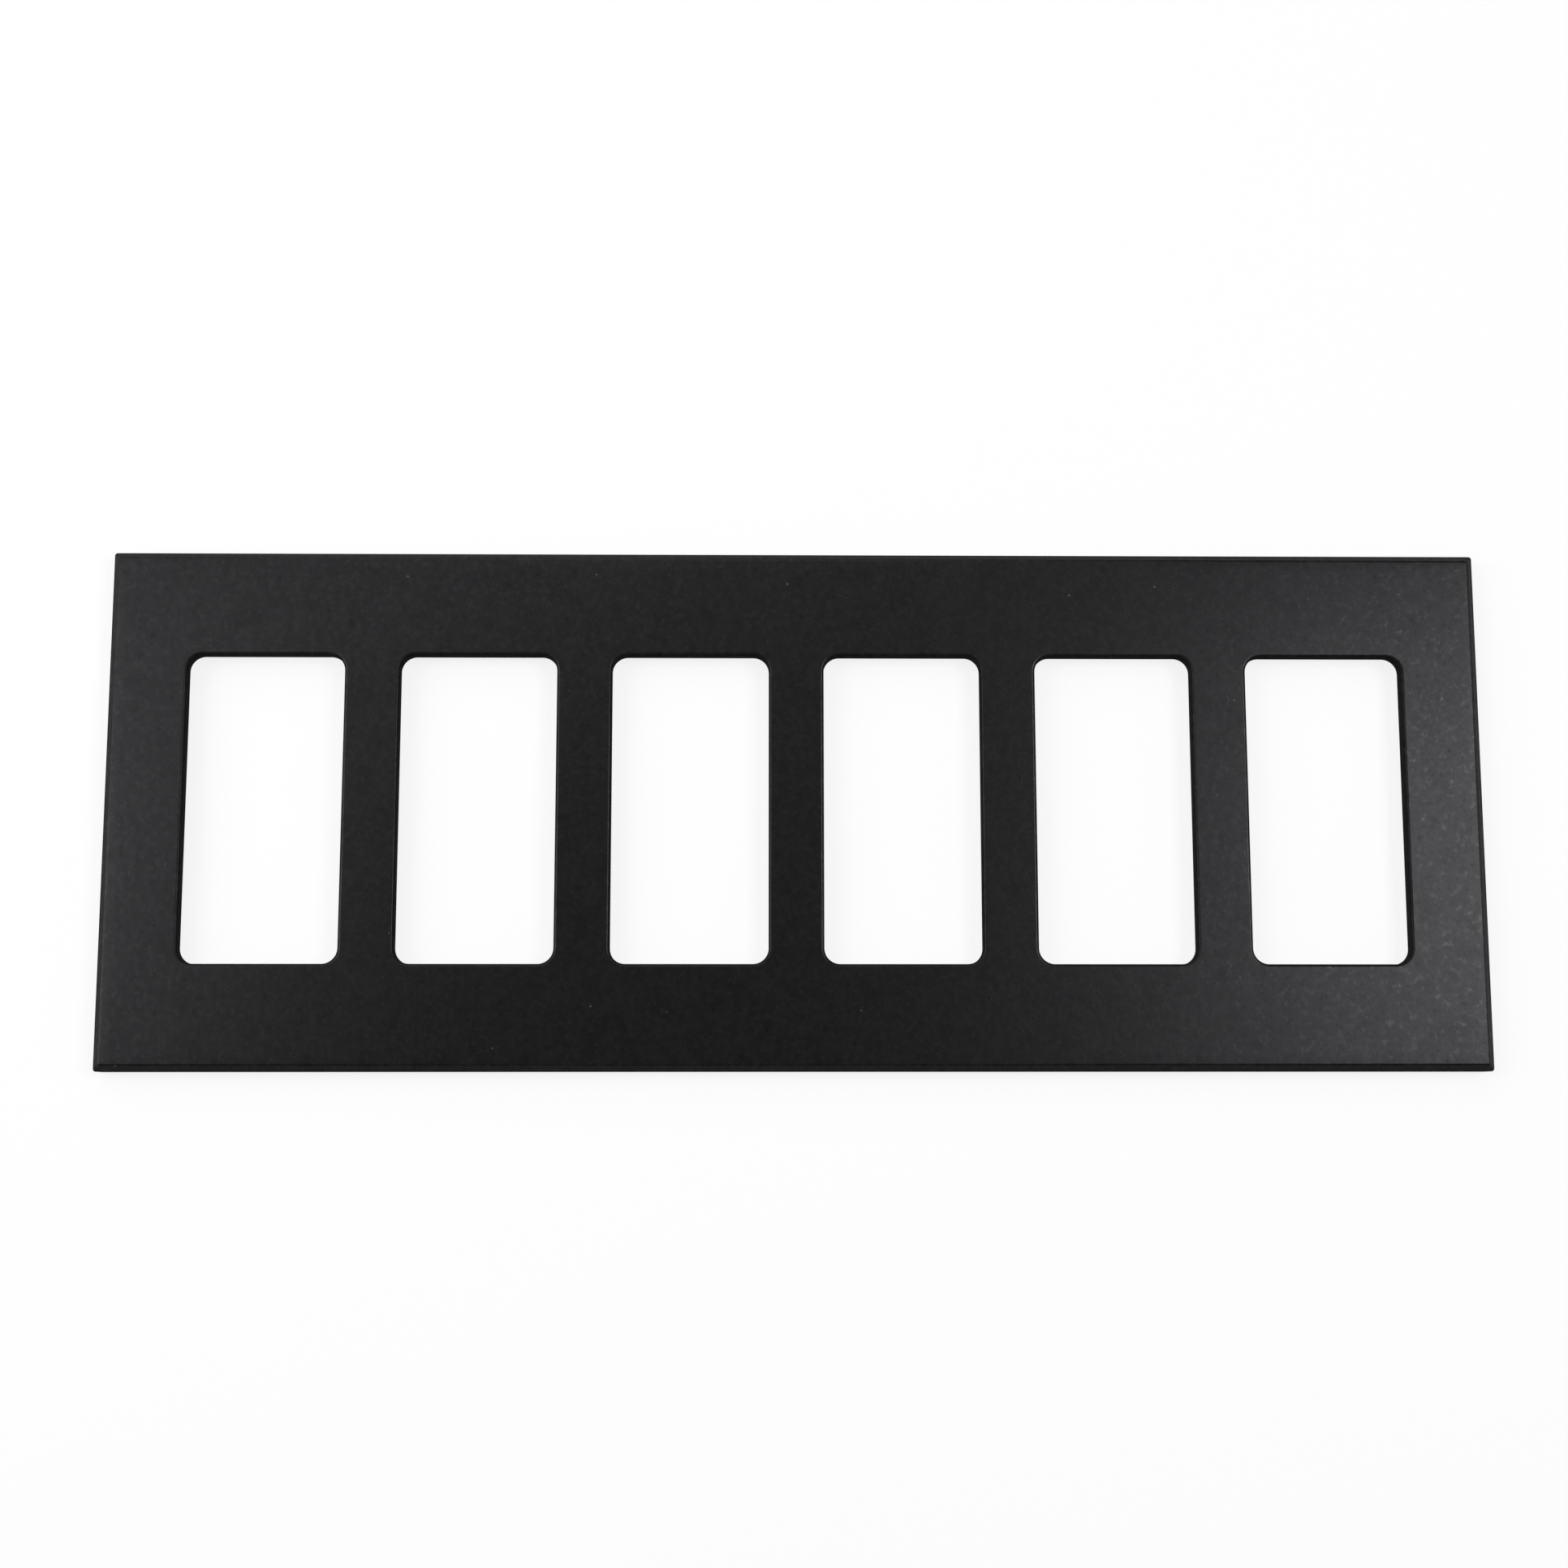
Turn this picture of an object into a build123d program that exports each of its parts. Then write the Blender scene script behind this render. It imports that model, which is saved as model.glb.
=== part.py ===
from build123d import *
import os

# Switch plate for a row of gangs, moulded as one hollow shell, in millimetres.
# X runs along the row of openings, Y up the wall and Z out of the wall.
# The origin is the middle of the back rim, which lies flat in the plane Z = 0.

# Row of openings: the pitch is the standard distance between neighbouring gangs.
gang_count = 6
gang_pitch = 46.04
opening_width = 34.1
opening_height = 67.1
opening_corner_radius = 3.4
lip_round = 0.65

# Borders of plain face around the row, from an end opening or from the row's long sides.
end_border = 17.0
long_border = 22.8

# Shell: front wall, side walls, and the flat bevel round the front edge, mitred at the corners.
face_wall = 2.2
skirt_wall = 2.0
edge_bevel = 1.3
foot_round = 0.4
face_round = 0.8
side_corner_radius = 0.6
face_corner_radius = 0.45
pocket_corner_radius = 1.5

# Stiffening on the back of the face: a rim round each opening and a rib in each bar.
rim_wall = 1.6
rim_height = 1.0
rib_wall = 1.4

# Catches inside the long sides, which clip over the edge of a flat carrier on the wall.
carrier_thickness = 1.5
carrier_clearance = 0.1
catch_width = 10.0
catch_reach = 0.8
catch_height = 1.2
catch_setback = 0.4

# Heights, from the back rim through the stack of catch, carrier, rim and face to the front.
back_rim = 0.0
catch_foot = back_rim + catch_setback
catch_ledge = catch_foot + catch_height
rim_back = catch_ledge + carrier_thickness + carrier_clearance
pocket_floor = rim_back + rim_height
front_face = pocket_floor + face_wall
bevel_foot = front_face - edge_bevel

# Outside sizes
plate_width = (gang_count - 1) * gang_pitch + opening_width + 2 * end_border
plate_height = opening_height + 2 * long_border
face_width = plate_width - 2 * edge_bevel
face_height = plate_height - 2 * edge_bevel
pocket_width = plate_width - 2 * skirt_wall
pocket_height = plate_height - 2 * skirt_wall

# Openings, and the bars between them, repeat along X.
opening_places = GridLocations(gang_pitch, 0, gang_count, 1)
bar_places = GridLocations(gang_pitch, 0, gang_count - 1, 1)


def rounded_outline(width, height, radius, level):
    """A rectangle with rounded corners, centred on Z, at one height."""
    return Pos(0, 0, level) * RectangleRounded(width, height, radius)


def rounded_block(width, height, radius, bottom, top):
    """A block with rounded upright edges, centred on Z, between two heights."""
    return extrude(rounded_outline(width, height, radius, bottom), top - bottom)


def outer_form():
    """The plate as a full block: upright sides, then the bevel, softened at its foot and more at the face."""
    sides = rounded_block(plate_width, plate_height, side_corner_radius, back_rim, bevel_foot)
    bevel_outlines = [
        rounded_outline(plate_width, plate_height, side_corner_radius, bevel_foot),
        rounded_outline(face_width, face_height, face_corner_radius, front_face),
    ]
    block = sides + loft(bevel_outlines, ruled=True)
    foot_edges = block.edges().filter_by(Plane.XY).group_by(Axis.Z)[1]
    block = fillet(foot_edges, foot_round)
    return fillet(block.edges().group_by(Axis.Z)[-1], face_round)


def opening_rim():
    """The raised rim on the back of the face round one opening, still filled in."""
    return rounded_block(
        opening_width + 2 * rim_wall,
        opening_height + 2 * rim_wall,
        opening_corner_radius + rim_wall,
        rim_back,
        pocket_floor,
    )


def bar_rib():
    """The rib on the back of one bar, from one long side to the other."""
    standing = (Align.CENTER, Align.CENTER, Align.MIN)
    return Pos(0, 0, rim_back) * Box(rib_wall, pocket_height, rim_height, align=standing)


def catch():
    """One catch on the upper long side: a ledge towards the face, sloped towards the wall."""
    root = pocket_height / 2
    section = Polyline(
        (root, catch_foot),
        (root - catch_reach, catch_ledge),
        (root, catch_ledge),
        close=True,
    )
    return extrude(make_face(Plane.YZ * section), catch_width / 2, both=True)


def switch_plate():
    """The whole plate: shell, stiffening and catches, with its openings cut and their lips rounded."""
    pocket = rounded_block(pocket_width, pocket_height, pocket_corner_radius, back_rim, pocket_floor)
    plate = outer_form() - pocket
    plate += [place * opening_rim() for place in opening_places]
    plate += [place * bar_rib() for place in bar_places]
    upper_catches = [place * catch() for place in opening_places]
    plate += upper_catches
    plate += [mirror(each, Plane.XZ) for each in upper_catches]
    opening = rounded_block(opening_width, opening_height, opening_corner_radius, back_rim, front_face)
    plate -= [place * opening for place in opening_places]
    lips = plate.faces().sort_by(Axis.Z)[-1].inner_wires().edges()
    return fillet(lips, lip_round)


os.makedirs("parts", exist_ok=True)
export_step(switch_plate(), "parts/switch_plate.step")
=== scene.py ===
"""Looks of the six-gang switch plate: satin black moulding on a white studio floor, under six soft lamps."""

import logging
import math
from dataclasses import dataclass
from enum import Enum
from typing import Any

import bmesh
import bpy
from mathutils import Matrix, Vector


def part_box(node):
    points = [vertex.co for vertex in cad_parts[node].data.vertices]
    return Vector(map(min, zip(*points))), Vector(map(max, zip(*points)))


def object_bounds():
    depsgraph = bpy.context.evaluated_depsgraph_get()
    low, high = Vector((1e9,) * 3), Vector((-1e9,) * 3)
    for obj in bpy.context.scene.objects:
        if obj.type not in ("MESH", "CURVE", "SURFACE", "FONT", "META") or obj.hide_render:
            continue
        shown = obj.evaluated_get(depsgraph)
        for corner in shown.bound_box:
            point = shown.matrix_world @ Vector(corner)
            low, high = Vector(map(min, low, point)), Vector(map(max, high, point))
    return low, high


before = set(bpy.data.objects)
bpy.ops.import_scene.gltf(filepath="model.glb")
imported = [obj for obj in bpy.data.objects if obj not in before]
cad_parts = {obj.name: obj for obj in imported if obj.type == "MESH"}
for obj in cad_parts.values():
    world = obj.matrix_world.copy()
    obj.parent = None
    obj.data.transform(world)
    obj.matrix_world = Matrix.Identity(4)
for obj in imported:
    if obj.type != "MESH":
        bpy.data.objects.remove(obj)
CAD_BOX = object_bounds()

MM = 0.001
LOG = logging.getLogger("switch_plate")

Colour = tuple[float, float, float, float]
Span = tuple[float, float]


class Operation(Enum):
    """The sums that the finishes work out with Math nodes."""

    ADD = "ADD"
    SUBTRACT = "SUBTRACT"
    MULTIPLY = "MULTIPLY"
    ABSOLUTE = "ABSOLUTE"
    MAXIMUM = "MAXIMUM"


class Value:
    """One output of a shader node, on which Python's operators add Math nodes."""

    def __init__(self, net: "ShaderNet", socket: bpy.types.NodeSocket) -> None:
        """Keeps the socket and the net that it belongs to."""
        self.net = net
        self.socket = socket

    def __add__(self, other: "Value | float") -> "Value":
        """Adds a value or a number."""
        return self.net.maths(Operation.ADD, self, other)

    def __radd__(self, other: float) -> "Value":
        """Adds this value to a number."""
        return self.net.maths(Operation.ADD, other, self)

    def __sub__(self, other: "Value | float") -> "Value":
        """Takes away a value or a number."""
        return self.net.maths(Operation.SUBTRACT, self, other)

    def __rsub__(self, other: float) -> "Value":
        """Takes this value away from a number."""
        return self.net.maths(Operation.SUBTRACT, other, self)

    def __mul__(self, other: "Value | float") -> "Value":
        """Multiplies by a value or a number."""
        return self.net.maths(Operation.MULTIPLY, self, other)

    def __rmul__(self, other: float) -> "Value":
        """Multiplies a number by this value."""
        return self.net.maths(Operation.MULTIPLY, other, self)

    def __abs__(self) -> "Value":
        """Drops the sign."""
        return self.net.maths(Operation.ABSOLUTE, self)

    def largest(self, other: "Value | float") -> "Value":
        """The larger of this value and another."""
        return self.net.maths(Operation.MAXIMUM, self, other)

    def rise(self, start: float, end: float) -> "Value":
        """A smooth step from 0 at start to 1 at end."""
        return self.net.node(
            "ShaderNodeMapRange",
            {"interpolation_type": "SMOOTHSTEP"},
            {"Value": self, "From Min": start, "From Max": end},
        )


class ShaderNet:
    """The node tree of one finish, emptied and ready to be filled."""

    def __init__(self, tree: bpy.types.NodeTree) -> None:
        """Empties the tree and keeps it."""
        self.tree = tree
        tree.nodes.clear()

    def node(
        self,
        kind: str,
        settings: dict[str, Any] | None = None,
        inputs: dict[str, Any] | None = None,
        output: str | None = None,
    ) -> Value:
        """Adds a node of any type.

        Args:
            kind: Blender's name of the node type.
            settings: Properties of the node, set first.
            inputs: A number, colour, vector or Value for each socket, by the socket's identifier.
            output: Identifier of the wanted output, or None for the first one.

        Returns:
            The wanted output.
        """
        made = self.tree.nodes.new(kind)
        for name, setting in (settings or {}).items():
            setattr(made, name, setting)
        sockets = {socket.identifier: socket for socket in made.inputs}
        for name, given in (inputs or {}).items():
            if isinstance(given, Value):
                self.tree.links.new(given.socket, sockets[name])
            else:
                sockets[name].default_value = given
        outputs = {socket.identifier: socket for socket in made.outputs}
        wanted = outputs[output] if output else next(iter(made.outputs), None)
        return Value(self, wanted)

    def maths(self, operation: Operation, *terms: Value | float) -> Value:
        """Adds a Math node.

        Args:
            operation: What it works out.
            terms: Its values or numbers, in order.

        Returns:
            The result.
        """
        names = ("Value", "Value_001")
        return self.node("ShaderNodeMath", {"operation": operation.value}, dict(zip(names, terms)))

    def mix_colours(self, share: Value, first: Value | Colour, second: Value | Colour) -> Value:
        """Goes from the first colour to the second as share goes from 0 to 1."""
        return self.node(
            "ShaderNodeMix",
            {"data_type": "RGBA"},
            {"Factor_Float": share, "A_Color": first, "B_Color": second},
            "Result_Color",
        )

    def noise(self, place: Value, width: float, layers: float, roughness: float) -> Value:
        """Noise from 0 to 1 whose largest patches are about width metres across.

        Args:
            place: Coordinates.
            width: Size of the largest patches.
            layers: How many times finer patches are added, each half as wide.
            roughness: Strength of each finer layer next to the one before.

        Returns:
            The noise.
        """
        return self.node(
            "ShaderNodeTexNoise",
            inputs={"Vector": place, "Scale": 1.0 / width, "Detail": layers, "Roughness": roughness},
        )


@dataclass(frozen=True)
class EdgeLevels:
    """Where the satin face ends: at the foot of the bevel outside, and high on the lips of the openings.

    The zones say, in widths of the bevel past the plate's sides, where the edge and the bevel itself begin.
    """

    half_width: float
    half_height: float
    bevel: float
    foot_level: float
    lip_level: float
    foot_blend: float = 0.1 * MM
    lip_blend: float = 0.07 * MM
    edge_zone: Span = (-2.0, -1.5)
    bevel_zone: Span = (-1.0, -0.6)

    def near_edge(self, outside: Value) -> Value:
        """Rises to 1 towards the plate's outer edge, while still on the face."""
        start, end = self.edge_zone
        return outside.rise(start * self.bevel, end * self.bevel)

    def on_bevel(self, outside: Value) -> Value:
        """Rises to 1 over the upper part of the bevel."""
        start, end = self.bevel_zone
        return outside.rise(start * self.bevel, end * self.bevel)

    def above_lip(self, z: Value) -> Value:
        """Falls to 0 a little way down the lips of the openings."""
        return z.rise(self.lip_level - self.lip_blend, self.lip_level + self.lip_blend)

    def above_foot(self, z: Value) -> Value:
        """Falls to 0 at the foot of the bevel."""
        return z.rise(self.foot_level - self.foot_blend, self.foot_level + self.foot_blend)


@dataclass(frozen=True)
class MouldedBlack:
    """Black moulded plastic: satin on the face and its edges, dull on the sides, in the openings and behind.

    Its grain has soft clouds and sparse flecks; the dull parts get a paler colour than the face, painted fill
    light. The depths that feed the bump are in millimetres.
    """

    name: str = "moulded_black"
    pale_black: Colour = (0.0081, 0.0079, 0.0085, 1.0)
    deep_black: Colour = (0.0013, 0.0012, 0.0015, 1.0)
    # paler than the face's colours: painted fill light on the sides, the opening walls, the bevel's dull part
    # and the back
    pale_dull_painted_fill: Colour = (0.0138, 0.0134, 0.0143, 1.0)
    deep_dull_painted_fill: Colour = (0.0076, 0.0074, 0.0080, 1.0)
    dust_grey: Colour = (0.127, 0.127, 0.133, 1.0)
    satin_tint: Colour = (1.0, 0.98, 1.034, 1.0)
    satin_specular: float = 0.208
    dull_specular: float = 0.02
    satin_roughness: float = 0.335
    dull_roughness: float = 1.0
    bevel_share: float = 0.45
    grain_share: float = 0.115
    grain_roughness: float = 0.03
    grain_depth: float = 0.008
    grain_stretch: float = 1.15
    even_paleness: float = 0.5
    full_satin_paleness: float = 1.5
    crown_width: float = 4.0 * MM
    crown_fall: float = 0.075
    cloud_width: float = 4.0 * MM
    cloud_layers: float = 3.0
    cloud_roughness: float = 1.0
    cloud_middle: float = 0.5
    cloud_gain: float = 1.7
    fleck_width: float = 1.2 * MM
    fleck_layers: float = 1.0
    fleck_roughness: float = 0.7
    fleck_middle: float = 0.45
    fleck_gain: float = 4.1
    fleck_relief: float = 0.3
    dust_cell: float = 20.0 * MM
    dust_radius: float = 0.22 * MM
    dust_core: float = 0.4
    dusty_share: float = 0.65

    def material(self, edges: EdgeLevels) -> bpy.types.Material:
        """Makes the plate's material.

        Args:
            edges: Where the satin face ends.

        Returns:
            The material.
        """
        material = bpy.data.materials.new(self.name)
        material.use_nodes = True
        net = ShaderNet(material.node_tree)
        place = net.node("ShaderNodeTexCoord", output="Object")
        x, y, z = (net.node("ShaderNodeSeparateXYZ", inputs={"Vector": place}, output=axis) for axis in "XYZ")
        outside = (abs(x) - edges.half_width).largest(abs(y) - edges.half_height)
        cloud, fleck = self.grain(net, place)
        paleness = cloud + fleck + self.even_paleness
        height = (cloud + fleck * self.fleck_relief) * self.grain_depth - self.crown(outside)
        bump = net.node("ShaderNodeBump", inputs={"Distance": MM, "Height": height})
        shade = net.mix_colours(paleness, self.deep_black, self.pale_black)
        satin = net.node(
            "ShaderNodeBsdfPrincipled",
            inputs={
                "Base Color": net.mix_colours(self.dust(net, place), shade, self.dust_grey),
                "Roughness": self.satin_roughness - (paleness - self.even_paleness) * self.grain_roughness,
                "Specular IOR Level": self.satin_specular,
                "Specular Tint": self.satin_tint,
                "Normal": bump,
            },
        )
        # dull: its paler base colour is painted fill light, with the grain's pale and deep spread
        dull = net.node(
            "ShaderNodeBsdfPrincipled",
            inputs={
                "Base Color": net.mix_colours(paleness, self.deep_dull_painted_fill, self.pale_dull_painted_fill),
                "Roughness": self.dull_roughness,
                "Specular IOR Level": self.dull_specular,
                "Normal": bump,
            },
        )
        satin_part = (paleness - self.full_satin_paleness) * self.grain_share + 1.0
        share = self.satin_share(outside, z, edges) * satin_part
        surface = net.node("ShaderNodeMixShader", inputs={"Fac": share, "Shader": dull, "Shader_001": satin})
        net.node("ShaderNodeOutputMaterial", inputs={"Surface": surface})
        return material

    def grain(self, net: ShaderNet, place: Value) -> tuple[Value, Value]:
        """The grain, a little longer up the plate than along it.

        Args:
            net: The net of the material.
            place: Coordinates.

        Returns:
            The soft clouds and the sparse flecks, each above zero where the grain is pale.
        """
        stretched = net.node(
            "ShaderNodeMapping",
            {"vector_type": "TEXTURE"},
            {"Vector": place, "Scale": (1.0, self.grain_stretch, 1.0)},
        )
        clouds = net.noise(stretched, self.cloud_width, self.cloud_layers, self.cloud_roughness)
        specks = net.noise(stretched, self.fleck_width, self.fleck_layers, self.fleck_roughness)
        speck = (specks - self.fleck_middle) * self.fleck_gain
        return (clouds - self.cloud_middle) * self.cloud_gain, speck * speck * speck

    def crown(self, outside: Value) -> Value:
        """How many millimetres the face seems to fall near its outer edges, more steeply towards them."""
        nearness = (outside * (1.0 / self.crown_width) + 1.0).largest(0.0)
        return nearness * nearness * self.crown_fall

    def satin_share(self, outside: Value, z: Value, edges: EdgeLevels) -> Value:
        """How much of the satin shows: all on the face, part on the bevel, and none inside and below.

        Args:
            outside: Distance past the nearest side of the plate, below zero within it.
            z: Height.
            edges: Where the satin face ends.

        Returns:
            The share.
        """
        near_edge = edges.near_edge(outside)
        inside_share = edges.above_lip(z) * (1.0 - near_edge)
        bevel_loss = edges.on_bevel(outside) * (1.0 - self.bevel_share)
        edge_share = edges.above_foot(z) * near_edge * (1.0 - bevel_loss)
        return inside_share + edge_share

    def dust(self, net: ShaderNet, place: Value) -> Value:
        """A few pale specks of dust: one at the middle of some of the cells that divide the face.

        Args:
            net: The net of the material.
            place: Coordinates.

        Returns:
            How much dust lies at a place, up to 1.
        """
        flat = {"voronoi_dimensions": "2D"}
        cells = {"Vector": place, "Scale": 1.0 / self.dust_cell}
        distance = net.node("ShaderNodeTexVoronoi", flat, cells, "Distance")
        chance = net.node("ShaderNodeTexVoronoi", flat, cells, "Color")
        radius = self.dust_radius / self.dust_cell
        speck = 1.0 - distance.rise(self.dust_core * radius, radius)
        chosen = net.node("ShaderNodeSeparateColor", inputs={"Color": chance})
        return speck * chosen.rise(1.0 - self.dusty_share, 1.0)


@dataclass(frozen=True)
class FloorPaint:
    """White paint, shown at a set white level that painted shade greys towards the wall; it still takes part
    of a shadow.
    """

    name: str = "white_floor_paint"
    paint_colour: Colour = (0.93, 0.93, 0.93, 1.0)
    near_white: Colour = (1.0, 1.0, 1.0, 1.0)
    far_painted_shade_grey: Colour = (0.5, 0.5, 0.5, 1.0)
    near_radius: float = 0.5
    far_radius: float = 2.6
    shown_share: float = 0.83

    def material(self) -> bpy.types.Material:
        """Makes the floor's material: paint to throw light back, and mostly a set level where it is seen,
        greyed by painted shade towards the wall.

        Returns:
            The material.
        """
        material = bpy.data.materials.new(self.name)
        material.use_nodes = True
        net = ShaderNet(material.node_tree)
        place = net.node("ShaderNodeTexCoord", output="Object")
        distance = net.node("ShaderNodeVectorMath", {"operation": "LENGTH"}, {"Vector": place}, "Value")
        # painted shade: the shown level fades from white to grey towards the wall
        painted_shade_fade = distance.rise(self.near_radius, self.far_radius)
        camera, glossy, through = (
            net.node("ShaderNodeLightPath", output=ray)
            for ray in ("Is Camera Ray", "Is Glossy Ray", "Is Transmission Ray")
        )
        seen = camera.largest(glossy).largest(through)
        paint = net.node("ShaderNodeBsdfDiffuse", inputs={"Color": self.paint_colour})
        shown = net.node(
            "ShaderNodeEmission",
            inputs={"Color": net.mix_colours(painted_shade_fade, self.near_white, self.far_painted_shade_grey), "Strength": 1.0},
        )
        surface = net.node(
            "ShaderNodeMixShader",
            inputs={"Fac": seen * self.shown_share, "Shader": paint, "Shader_001": shown},
        )
        net.node("ShaderNodeOutputMaterial", inputs={"Surface": surface})
        return material


@dataclass
class SwitchPlate:
    """The moulded plate: its CAD solid keeps its own mesh and gets its finish."""

    node: str = "switch_plate"
    bevel: float = 1.3 * MM
    foot_round: float = 0.2 * MM
    lip_depth: float = 0.07 * MM
    finish: MouldedBlack = MouldedBlack()

    def dress(self) -> bpy.types.Object:
        """Gives the plate its finish, with its limits taken from the plate's own box.

        Returns:
            The plate.
        """
        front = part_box(self.node)[1]
        edges = EdgeLevels(
            half_width=front.x,
            half_height=front.y,
            bevel=self.bevel,
            foot_level=front.z - self.bevel + self.foot_round,
            lip_level=front.z - self.lip_depth,
        )
        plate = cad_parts[self.node]
        plate.data.materials.clear()
        plate.data.materials.append(self.finish.material(edges))
        return plate


@dataclass
class StudioFloor:
    """A round floor that curves up into a wall, so that low views have a pale background too."""

    name: str = "studio_floor"
    radius: float = 3.0
    wall_height: float = 1.5
    cove_radius: float = 0.8
    gap_below: float = 0.02 * MM
    segments: int = 96
    cove_segments: int = 16
    paint: FloorPaint = FloorPaint()

    def build(self) -> bpy.types.Object:
        """Makes the floor.

        Returns:
            The floor.
        """
        shape = bmesh.new()
        low = CAD_BOX[0].z - self.gap_below
        bmesh.ops.create_circle(
            shape,
            cap_ends=True,
            radius=self.radius,
            segments=self.segments,
            matrix=Matrix.Translation((0.0, 0.0, low)),
        )
        rim = [edge for edge in shape.edges if edge.is_boundary]
        raised = bmesh.ops.extrude_edge_only(shape, edges=rim)["geom"]
        top = [part for part in raised if isinstance(part, bmesh.types.BMVert)]
        bmesh.ops.translate(shape, verts=top, vec=(0.0, 0.0, self.wall_height))
        bmesh.ops.bevel(
            shape,
            geom=rim,
            offset=self.cove_radius,
            offset_type="OFFSET",
            affect="EDGES",
            segments=self.cove_segments,
            profile=0.5,
            material=-1,
        )
        bmesh.ops.recalc_face_normals(shape, faces=shape.faces)
        mesh = bpy.data.meshes.new(self.name)
        shape.to_mesh(mesh)
        shape.free()
        mesh.shade_smooth()
        mesh.materials.append(self.paint.material())
        floor = bpy.data.objects.new(self.name, mesh)
        bpy.context.scene.collection.objects.link(floor)
        return floor


@dataclass
class Softbox:
    """A square soft lamp that faces the plate from a slant, in degrees to the right and up the plate."""

    name: str
    slant_right: float
    slant_up: float
    side: float
    brightness: float
    distance: float = 0.9

    def build(self, target: Vector) -> bpy.types.Object:
        """Hangs the lamp and turns it to the target.

        Args:
            target: The point that it faces.

        Returns:
            The lamp.
        """
        slope_right = math.tan(math.radians(self.slant_right))
        slope_up = math.tan(math.radians(self.slant_up))
        away = Vector((slope_right, slope_up, 1.0)).normalized()
        light = bpy.data.lights.new(self.name, "AREA")
        light.shape = "SQUARE"
        light.size = self.side
        light.energy = self.brightness * math.pi * self.side**2
        lamp = bpy.data.objects.new(self.name, light)
        lamp.location = target + away * self.distance
        lamp.rotation_euler = away.to_track_quat("Z", "Y").to_euler()
        lamp.visible_camera = False
        bpy.context.scene.collection.objects.link(lamp)
        return lamp


@dataclass
class Room:
    """The dim plain room round the studio."""

    name: str = "dim_room"
    colour: Colour = (1.0, 1.0, 1.0, 1.0)
    brightness: float = 0.03

    def build(self) -> bpy.types.World:
        """Makes the world and makes it the scene's own.

        Returns:
            The world.
        """
        world = bpy.data.worlds.new(self.name)
        world.use_nodes = True
        net = ShaderNet(world.node_tree)
        light = net.node("ShaderNodeBackground", inputs={"Color": self.colour, "Strength": self.brightness})
        net.node("ShaderNodeOutputWorld", inputs={"Surface": light})
        bpy.context.scene.world = world
        return world


@dataclass
class PhotoCamera:
    """The camera of the photograph, above the plate and a little below its middle."""

    place: Vector
    target: Vector
    name: str = "photo_camera"
    roll: float = 0.03
    lens: float = 51.24
    sensor: float = 36.0

    def build(self) -> bpy.types.Object:
        """Makes the camera, with +Y up in the picture but for the roll, and makes it the scene's own.

        Returns:
            The camera.
        """
        back = (self.place - self.target).normalized()
        roll = math.radians(self.roll)
        upward = Vector((math.sin(roll), math.cos(roll), 0.0))
        right = upward.cross(back).normalized()
        up = back.cross(right)
        lens = bpy.data.cameras.new(self.name)
        lens.lens = self.lens
        lens.sensor_width = self.sensor
        camera = bpy.data.objects.new(self.name, lens)
        camera.location = self.place
        camera.rotation_euler = Matrix((right, up, back)).transposed().to_euler()
        bpy.context.scene.collection.objects.link(camera)
        bpy.context.scene.camera = camera
        return camera


def main() -> None:
    """Dresses the plate, then builds the studio round it, and reports each piece."""
    logging.basicConfig(level=logging.INFO, format="%(name)s: %(message)s")
    front_middle = Vector((0.0, 0.0, CAD_BOX[1].z))
    softboxes = [
        Softbox("right_softbox", slant_right=31.4, slant_up=4.8, side=0.3, brightness=11.9),
        Softbox("left_softbox", slant_right=-37.4, slant_up=4.6, side=0.3, brightness=7.27),
        Softbox("upper_softbox", slant_right=-20.6, slant_up=40.7, side=0.89, brightness=1.59),
        Softbox("low_right_softbox", slant_right=66.0, slant_up=0.0, side=0.35, brightness=1.6),
        Softbox("low_left_softbox", slant_right=-60.0, slant_up=0.0, side=0.4, brightness=3.9),
        Softbox("low_front_softbox", slant_right=0.0, slant_up=-52.0, side=1.1, brightness=0.2),
    ]
    camera = PhotoCamera(
        place=Vector((-9.51, -64.01, 483.57)) * MM,
        target=Vector((-2.68, 5.26, 6.4)) * MM,
    )
    made = [SwitchPlate().dress(), StudioFloor().build()]
    made += [softbox.build(front_middle) for softbox in softboxes]
    made += [Room().build(), camera.build()]
    for piece in made:
        LOG.info("made %s", piece.name)
    bpy.context.scene.view_settings.view_transform = "Standard"


if __name__ == "__main__":
    main()
